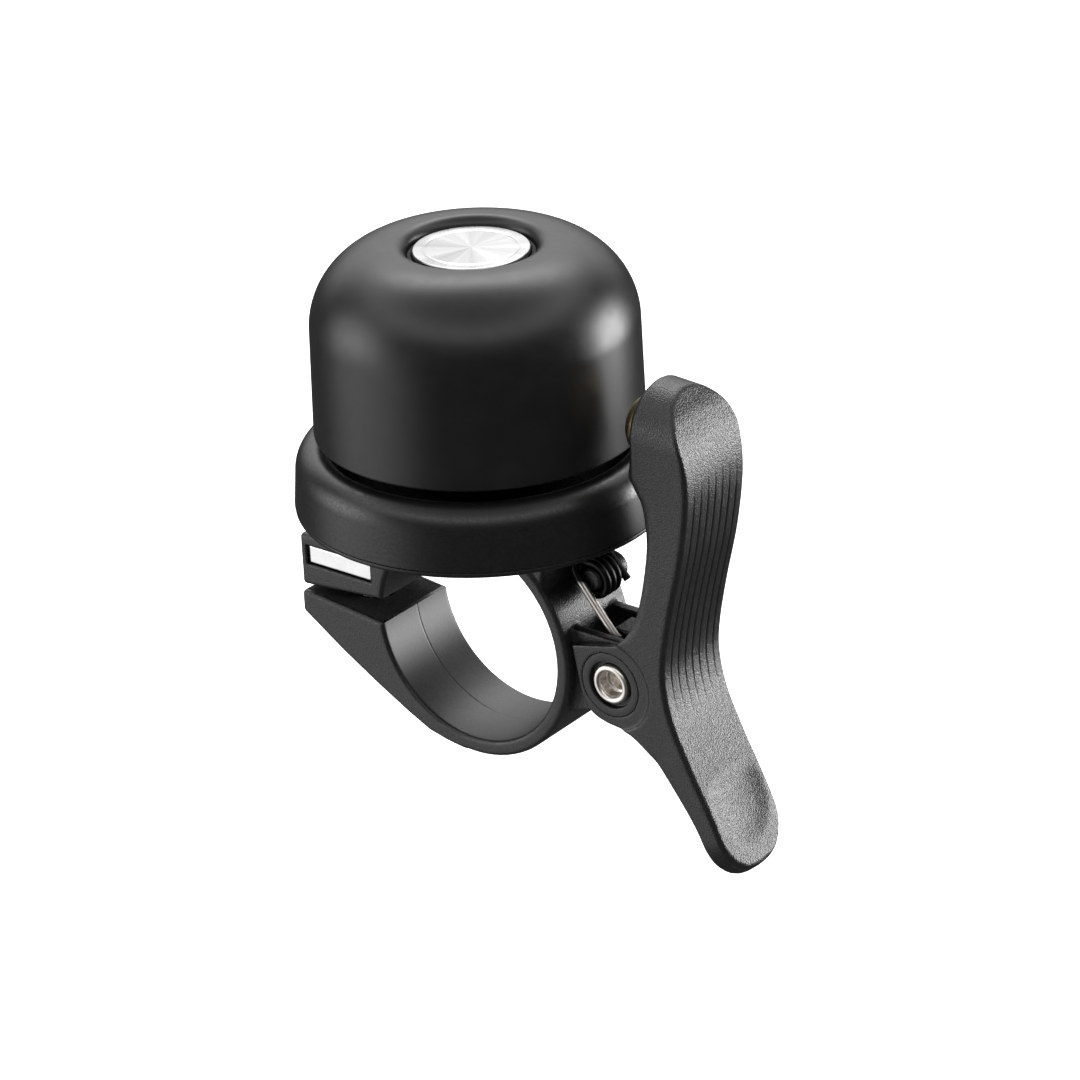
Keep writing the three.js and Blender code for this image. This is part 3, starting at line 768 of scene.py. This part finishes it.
def build_nut():
    centre = (NUT_LOW + NUT_HIGH) / 2
    half = (NUT_HIGH - NUT_LOW) / 2

    def field(x, y, z):
        across = np.maximum(abs(x - centre.x) - half.x, abs(z - centre.z) - half.z)
        plate = meet(across, abs(y - centre.y) - half.y, 0.12)
        hole = np.sqrt((x - CLAMP_SCREW_X) ** 2 + y * y) - 2.06
        return cut(plate, hole, 0.1)

    nut = grow("nut_plate", field, [around(NUT_LOW[i], NUT_HIGH[i], 0.13) for i in range(3)])
    finish(nut, BRIGHT_STEEL, "base", "plated_steel", "clamp_nut")


def build_clamp_screw():
    seat = -4.1  # underside of the head
    head_radius = 3.5
    head_bottom = SCREW_LOW.z
    tip = SCREW_HIGH.z
    root_radius = 1.68
    pitch = 0.7
    thread_depth = 0.3
    socket_half = 1.25
    socket_depth = 1.4

    def field(x, y, z):
        u, v = x - CLAMP_SCREW_X, y
        radius = np.sqrt(u * u + v * v)
        turn = np.arctan2(v, u) / (2 * math.pi) + z / pitch
        thread = thread_depth * abs(turn - np.round(turn)) * 2
        thread = thread * fade(z, seat + 0.4, seat + 1.2)
        shank = meet(radius - root_radius - thread, slab(z, seat - 0.5, tip), 0.2)
        head = meet(radius - head_radius, slab(z, head_bottom, seat), 0.3)
        hexagon = np.maximum(abs(u), abs(u) * 0.5 + abs(v) * math.cos(math.pi / 6)) - socket_half
        socket = np.maximum(hexagon, z - head_bottom - socket_depth)
        return cut(np.minimum(shank, head), socket, 0.08)

    screw = grow("hex_clamp_screw", field, (
        around(SCREW_LOW.x, SCREW_HIGH.x, 0.12, 0.3), around(SCREW_LOW.y, SCREW_HIGH.y, 0.12, 0.3),
        around(head_bottom, tip, 0.1, 0.3),
    ))
    finish(screw, STEEL, "base", "plated_steel", "clamp_screw")
    hole, rim = 2.2, 3.9
    washer_low, washer_high = node_box("clamp_washer")
    washer = lathe("washer_ring", rounded([
        (hole, washer_low.z, 0.08), (rim, washer_low.z, 0.12),
        (rim, washer_high.z, 0.12), (hole, washer_high.z, 0.08),
    ], 3, closed=True), 96, centre=(CLAMP_SCREW_X, 0, 0))
    finish(washer, STEEL, "base", "plated_steel", "clamp_washer")


# ---------------------------------------------------------------- pivot

BOSS_RADIUS = 3.4
BOSS_BORE = 2.02
COUNTERBORE = 2.5
COUNTERBORE_DEPTH = 0.9
RIVET_LIP = {"radius": 1.72, "half": 0.36}  # the rolled ring at each end of the rivet


def build_pivot():
    end = PIN_HIGH.y
    centre = (PIVOT[0], 0.0, PIVOT[1])
    lip, lip_half = RIVET_LIP["radius"], RIVET_LIP["half"]
    half = [
        (PIN_BORE - 0.25, 0.0), (PIN_BORE - 0.25, end - 1.5, 0.1), (PIN_BORE + 0.05, end - 1.4, 0.1),
        (PIN_BORE + 0.12, end - 0.5, 0.1), *arc(lip, end - 0.27, lip_half, 0.33, 190, 0, 12),
        (lip + lip_half, end - 0.45, 0.08), (PIN_RADIUS, end - 0.55, 0.06), (PIN_RADIUS, 0.0),
    ]
    near = rounded(half, 6)
    far = [(radius, -y) for radius, y in reversed(near)]
    pin = lathe("pivot_rivet", near + far[1:-1], 112, "y", centre)
    finish(pin, RIVET_STEEL, "base", "plated_steel", "pivot_pin")
    top = LEVER_HALF - SEAT_DEPTH
    floor = LEVER_HALF - COUNTERBORE_DEPTH
    rim = BOSS_RADIUS - 0.02
    for name, side in (("pivot_boss_near", -1), ("pivot_boss_far", 1)):
        profile = rounded([
            (BOSS_BORE, side * floor), (COUNTERBORE, side * floor, 0.08), (COUNTERBORE, side * top, 0.12),
            (rim, side * top, 0.09), (rim, side * CHEEK_INNER), (BOSS_BORE, side * CHEEK_INNER),
        ], 4, closed=True)
        boss = lathe(name, profile, 112, "y", centre)
        finish(boss, LEVER_PLASTIC, "lever", "lever_plastic")


# ---------------------------------------------------------------- spring


def spring_path():
    leg = [
        (HOOK[0], 1.6, HOOK[1]), (HOOK[0], 0.4, HOOK[1]), (HOOK[0], -1.2, HOOK[1]), (16.3, -1.9, 3.35),
        (15.4, -2.05, 4.4), (13.8, -2.05, 6.31), (12.2, -2.03, 8.22), (11.45, -1.95, 9.3),
        (11.35, -1.75, 9.95), (11.85, -1.45, 10.3),
    ]
    turns = 3.1
    start = math.radians(100)
    steps = 16  # of one turn
    coil = []
    for i in range(int(turns * steps) + 1):
        angle = start - 2 * math.pi * i / steps
        coil.append((
            COIL["x"] + COIL["radius"] * math.cos(angle),
            COIL["front"] + COIL["pitch"] * i / steps,
            COIL["z"] + COIL["radius"] * math.sin(angle),
        ))
    return smooth_curve([*leg, *coil, (15.25, 1.5, 7.9)], 4)


def build_spring():
    path = spring_path()
    curve = bpy.data.curves.new("spring_line", "CURVE")
    curve.dimensions = "3D"
    curve.bevel_depth = WIRE_RADIUS * MM
    curve.bevel_resolution = 6
    curve.use_fill_caps = True
    line = curve.splines.new("POLY")
    line.points.add(len(path) - 1)
    for point, spot in zip(line.points, path):
        point.co = (*(value * MM for value in spot), 1)
    guide = bpy.data.objects.new("spring_line", curve)
    bpy.context.scene.collection.objects.link(guide)
    bpy.context.view_layer.update()
    mesh = bpy.data.meshes.new_from_object(guide.evaluated_get(bpy.context.evaluated_depsgraph_get()))
    bpy.data.objects.remove(guide)
    mesh.shade_smooth()
    mesh.set_sharp_from_angle(angle=math.radians(MOULDED_SHARP))
    spring = bpy.data.objects.new("spring_wire", mesh)
    bpy.context.scene.collection.objects.link(spring)
    finish(spring, SPRING_STEEL_PAINTED_SHADE, None, "spring_steel", "return_spring")
    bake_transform(spring)


# ---------------------------------------------------------------- lever

OUTER_GROOVE = 3  # grooves lie from -3 to 3 spacings off the middle
GROOVE_SPACING = 1.16
GROOVE_DEPTH = 0.12
GROOVE_ENDS = {"low": (-4.5, 5.5), "high": (18.5, 24.5), "stagger": 0.2}  # z over which they run out
CHAMFER = {"along": 0.6, "across": 0.2, "head": 0.65}  # of the inner edges: on the side, and across it
LEVER_EDGE = 0.42
SEAT_DEPTH = 0.22  # the sides are set back round the pivot
SEAT_EDGE = (4.55, 4.95)  # distances from the pivot between which the set-back ends
DIMPLE = {"x": 28.95, "z": -11.5, "long": 5.0, "wide": 4.2, "depth": 0.26, "wall": 0.09}
PADDLE = (0.406, -0.914)  # direction of the thumb end's back face, towards the tip
TIP_CENTRE = (29.17, -14.1)
HEAD_CENTRE_Z = 26.3


def lever_outline():
    back = smooth_curve([
        (22.2, 33.2), (23.3, 31.7), (24.4, 30.2), (25.6, 28.4), (26.8, 25.4), (27.15, 21.5), (26.4, 15.6),
        (25, 9.5), (24.05, 4.5), (23.9, 1.2), (24.7, -2.6), (26.7, -7), (29.3, -12), (31.7, -17.4),
    ], 6)
    tip = [(31.75, -18.0), (31.45, -18.7), (30.9, -19.1), (30.3, -19.1), (29.7, -18.6)]
    paddle = smooth_curve([
        (28.9, -17.3), (27.1, -13.5), (24, -9.2), (21.9, -6.8), (19.5, -5.25), (16.6, -4.8), (14.9, -4.1),
        (13.9, -2.6), (13.1, 0.9), (12.75, 2.6),
    ], 5)
    inner = smooth_curve([
        (18, 3.9), (19.5, 5.4), (20.8, 8), (21.75, 12), (22.25, 16), (21.95, 19.6), (21.15, 21.25),
        (HEAD_FACE, 22.6),
    ], 5)
    return [*back, *tip, *paddle, *inner, (HEAD_FACE, 33.2)]


def lever_face(x, y, z):
    """Distance to the lever's sides: straight along the lever, round over its head and thumb end."""
    head_lean = 0.07 * np.clip(x - 21, 0, 3.5)
    above = np.maximum(z - (HEAD_CENTRE_Z - head_lean), 0)
    depth = np.clip((x - TIP_CENTRE[0]) * PADDLE[1] - (z - TIP_CENTRE[1]) * PADDLE[0], 0, 1.4)
    past_tip = (x - TIP_CENTRE[0]) * PADDLE[0] + (z - TIP_CENTRE[1]) * PADDLE[1]
    below = np.maximum(past_tip / (1 + 0.09 * depth), 0)
    return np.sqrt(y * y + above * above + below * below) - LEVER_HALF


def lever_field():
    outline = outline_field(lever_outline())
    fork_room = outline_field([
        (10, 4.3), (16.4, 4.9), (18.2, 6.2), (19.8, 5.2), *arc(*PIVOT, 3.8, 3.8, 40, -75, 24), (17.4, -6.5),
        (10, -6.5),
    ])
    catch = outline_field([(15.6, 2.4), (21, 2.4), (21, 3.95), (15.6, 3.95)])

    def field(x, y, z):
        in_side = outline(x, z)
        wide = abs(y)
        lane = y / GROOVE_SPACING
        from_groove = (lane - np.clip(np.round(lane), -OUTER_GROOVE, OUTER_GROOVE)) * GROOVE_SPACING
        stagger = GROOVE_ENDS["stagger"] * wide
        length = fade(z - stagger, *GROOVE_ENDS["low"]) * (1 - fade(z + stagger, *GROOVE_ENDS["high"]))
        grooves = GROOVE_DEPTH * bump(from_groove, 0.1) * length * fade(x, 22.8, 23.4)
        along = (x - DIMPLE["x"]) * PADDLE[0] + (z - DIMPLE["z"]) * PADDLE[1]
        oval = np.sqrt((along / DIMPLE["long"]) ** 2 + (y / DIMPLE["wide"]) ** 2)
        dish = DIMPLE["depth"] * np.maximum(1 - oval * oval, 0) ** 1.2
        dip = (dish + DIMPLE["wall"] * (1 - fade(oval, 0.55, 1.05))) * fade(x - 0.45 * z, 31.5, 33)
        from_pivot = np.sqrt((x - PIVOT[0]) ** 2 + (z - PIVOT[1]) ** 2)
        from_seat = np.sqrt(np.maximum(x - PIVOT[0], 0) ** 2 + (z - PIVOT[1]) ** 2)
        face = lever_face(x, y, z) + SEAT_DEPTH * (1 - fade(from_seat, *SEAT_EDGE))
        edge = 0.12 + LEVER_EDGE * fade(x, 21.3, 23) * (1 - 0.75 * fade(z, 23, 28))
        body = meet(in_side + grooves + dip, face, edge)
        along = CHAMFER["along"]
        across = CHAMFER["across"] + (CHAMFER["head"] - CHAMFER["across"]) * fade(z, 22, 25)
        size = along * across * fade(z, 3.6, 6.5) * (1 - fade(x, 22.6, 23.6))
        body = meet(body, (in_side * across + face * along + size) / np.sqrt(along**2 + across**2), 0.06)
        body = cut(body, np.maximum(fork_room(x, z), wide - CHEEK_INNER), 0.15)
        body = join(body, meet(catch(x, z), wide - 1.5, 0.15), 0.2)
        from_hook = np.sqrt((x - HOOK[0]) ** 2 + (z - HOOK[1]) ** 2)
        body = np.maximum(body, -np.maximum(from_hook - 0.5, wide - 1.8))
        return np.maximum(body, -np.maximum(from_pivot - BOSS_RADIUS, 3 - wide))

    return field


def build_lever():
    grooves = [lane * GROOVE_SPACING for lane in range(-OUTER_GROOVE, OUTER_GROOVE + 1)]
    edges = [side * (LEVER_HALF - step) for side in (-1, 1) for step in (0, 0.2, 0.45)]
    lever = grow("lever_body", lever_field(), (
        around(LEVER_LOW.x, LEVER_HIGH.x, 0.18),
        levels(-LEVER_HALF - 0.5, LEVER_HALF + 0.5, 0.24, [*grooves, *edges]),
        around(LEVER_LOW.z, LEVER_HIGH.z, 0.18),
    ))
    finish(lever, LEVER_PLASTIC, "lever", "lever_plastic", "lever")


def build_hammer():
    crown = 2.1  # the domed front's height
    radius = (HAMMER_HIGH.z - HAMMER_LOW.z) / 2
    middle = (HAMMER_HIGH.z + HAMMER_LOW.z) / 2
    tip = HAMMER_LOW.x
    profile = rounded([
        (0, HAMMER_HIGH.x), (radius, HAMMER_HIGH.x, 0.15),
        *arc(0, tip + crown, radius, crown, 0, -90, 28),
    ], 4)
    hammer = lathe("hammer_dome", profile, 96, "x", (0, 0, middle))
    finish(hammer, BRASS, "lever", "brass", "hammer")


# ---------------------------------------------------------------- the CAD nodes that stay

KEPT = {
    "dome_washer": STEEL, "dome_screw": STEEL, "dome_isolator": RUBBER, "centre_post": SKIRT_PLASTIC,
    "base_screw_1": STEEL, "base_screw_2": STEEL, "pivot_spacer": STEEL, "spring_post": CLAMP_PLASTIC,
    "hammer_stud": STEEL,
}


def dress_kept_nodes():
    for name, material in KEPT.items():
        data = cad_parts[name].data
        data.materials.clear()
        data.materials.append(material)


# ---------------------------------------------------------------- floor, light and camera

FLOOR_DROP = 14  # from the lowest point of the bell to the floor
FLOOR_HALF = 4000
FLOOR_GLOW = 0.82

def build_floor():
    height = cad_low.z / MM - FLOOR_DROP
    corners = [(u * FLOOR_HALF, v * FLOOR_HALF, height) for u, v in ((-1, -1), (1, -1), (1, 1), (-1, 1))]
    floor = new_mesh_object("floor", corners, [(0, 1, 2, 3)], smooth=False)
    shader = Shader("floor_paper", (0.9, 0.9, 0.9), 0.9)
    shader.set("Emission Color", (1, 1, 1, 1))
    shader.set("Emission Strength", FLOOR_GLOW)
    floor.data.materials.append(shader.material)
    floor.visible_glossy = False


# Soft panels of the studio, each by the direction in which it stands: bearing from -Y towards +X,
# its half width, its lowest and highest elevation, the softness of its upright and level edges and its
# brightness.
PANELS = [
    {"bearing": 143, "half": 12, "low": -17, "high": 13, "soft": 6, "fall": 9, "light": 16.5},
    {"bearing": -52, "half": 12, "low": -4, "high": 26, "soft": 14, "fall": 14, "light": 3.6},
    {"bearing": -42, "half": 26, "low": -40, "high": 10, "soft": 16, "fall": 16, "light": 1.2},
    {"bearing": -141, "half": 40, "low": 8, "high": 36, "soft": 14, "fall": 12, "light": 1.5},
    {"bearing": -145, "half": 34, "low": 42, "high": 60, "soft": 12, "fall": 8, "light": 5.8},
    {"bearing": 0, "half": 180, "low": 38, "high": 56, "soft": 0, "fall": 8, "light": 2.0},
    {"bearing": 0, "half": 180, "low": 56, "high": 90, "soft": 0, "fall": 8, "light": 0.5},
]
AMBIENT = 0.06


def build_world():
    world = bpy.data.worlds.new("studio")
    bpy.context.scene.world = world
    world.use_nodes = True
    nodes, links = world.node_tree.nodes, world.node_tree.links
    background = nodes["Background"]
    background.inputs["Color"].default_value = (1, 1, 1, 1)
    direction = nodes.new("ShaderNodeTexCoord").outputs["Generated"]
    flat = nodes.new("ShaderNodeVectorMath")
    flat.operation = "MULTIPLY"
    flat.inputs[1].default_value = (1, 1, 0)
    links.new(direction, flat.inputs[0])
    level = nodes.new("ShaderNodeVectorMath")
    level.operation = "NORMALIZE"
    links.new(flat.outputs["Vector"], level.inputs[0])
    upright = nodes.new("ShaderNodeSeparateXYZ")
    links.new(direction, upright.inputs["Vector"])

    def smooth_step(value, start, stop):
        made = nodes.new("ShaderNodeMapRange")
        made.interpolation_type = "SMOOTHSTEP"
        made.inputs["From Min"].default_value = start
        made.inputs["From Max"].default_value = stop
        links.new(value, made.inputs["Value"])
        return made.outputs["Result"]

    def maths(kind, a, b):
        made = nodes.new("ShaderNodeMath")
        made.operation = kind
        for socket, value in zip(made.inputs, (a, b)):
            if isinstance(value, (int, float)):
                socket.default_value = value
            else:
                links.new(value, socket)
        return made.outputs["Value"]

    def sine(degrees):
        return math.sin(math.radians(max(-90, min(90, degrees))))

    total = AMBIENT
    for panel in PANELS:
        bearing = math.radians(panel["bearing"])
        facing = nodes.new("ShaderNodeVectorMath")
        facing.operation = "DOT_PRODUCT"
        facing.inputs[1].default_value = (math.sin(bearing), -math.cos(bearing), 0)
        links.new(level.outputs["Vector"], facing.inputs[0])
        outer = math.cos(math.radians(panel["half"] + panel["soft"]))
        inner = math.cos(math.radians(max(panel["half"] - panel["soft"], 0)))
        across = smooth_step(facing.outputs["Value"], outer, inner) if panel["half"] < 180 else 1.0
        fall, low, high = panel["fall"], panel["low"], panel["high"]
        rise = smooth_step(upright.outputs["Z"], sine(low - fall), sine(low + fall))
        drop = smooth_step(upright.outputs["Z"], sine(high + fall), sine(high - fall)) if high < 90 else 1.0
        glow = maths("MULTIPLY", maths("MULTIPLY", across, rise), maths("MULTIPLY", drop, panel["light"]))
        total = maths("ADD", glow, total)
    camera_ray = nodes.new("ShaderNodeLightPath").outputs["Is Camera Ray"]
    seen = maths("ADD", maths("MULTIPLY", total, maths("SUBTRACT", 1.0, camera_ray)), camera_ray)
    links.new(seen, background.inputs["Strength"])


CAMERA = {"bearing": 38.56, "elevation": 25.38, "roll": -2.55, "distance": 397.3, "lens": 133.33}
CAMERA_AIM = (-1.19, 0, 13.36)  # near the middle of the bell
CAMERA_SHIFT = (5.56, -4.35)  # of the aim, to the right and up in the picture


def build_camera():
    bearing, elevation, roll = (math.radians(CAMERA[name]) for name in ("bearing", "elevation", "roll"))
    outward = Vector((math.sin(bearing), -math.cos(bearing), 0))
    back = outward * math.cos(elevation) + Vector((0, 0, math.sin(elevation)))
    level = Vector((math.cos(bearing), math.sin(bearing), 0))
    upright = back.cross(level)
    right = level * math.cos(roll) + upright * math.sin(roll)
    up = upright * math.cos(roll) - level * math.sin(roll)
    aim = Vector(CAMERA_AIM) + CAMERA_SHIFT[0] * right + CAMERA_SHIFT[1] * up
    camera = bpy.data.objects.new("camera", bpy.data.cameras.new("camera"))
    turn = Matrix((right, up, back)).transposed().to_4x4()
    camera.matrix_world = Matrix.Translation((aim + CAMERA["distance"] * back) * MM) @ turn
    camera.data.sensor_width = 36
    camera.data.lens = CAMERA["lens"]
    camera.data.clip_start = 0.01
    camera.data.clip_end = 10
    bpy.context.scene.collection.objects.link(camera)
    bpy.context.scene.camera = camera


build_camera()
build_dome()
build_base()
build_clamp()
build_nut()
build_clamp_screw()
build_pivot()
build_spring()
build_lever()
build_hammer()
dress_kept_nodes()
build_floor()
build_world()
bpy.context.scene.view_settings.view_transform = "Standard"
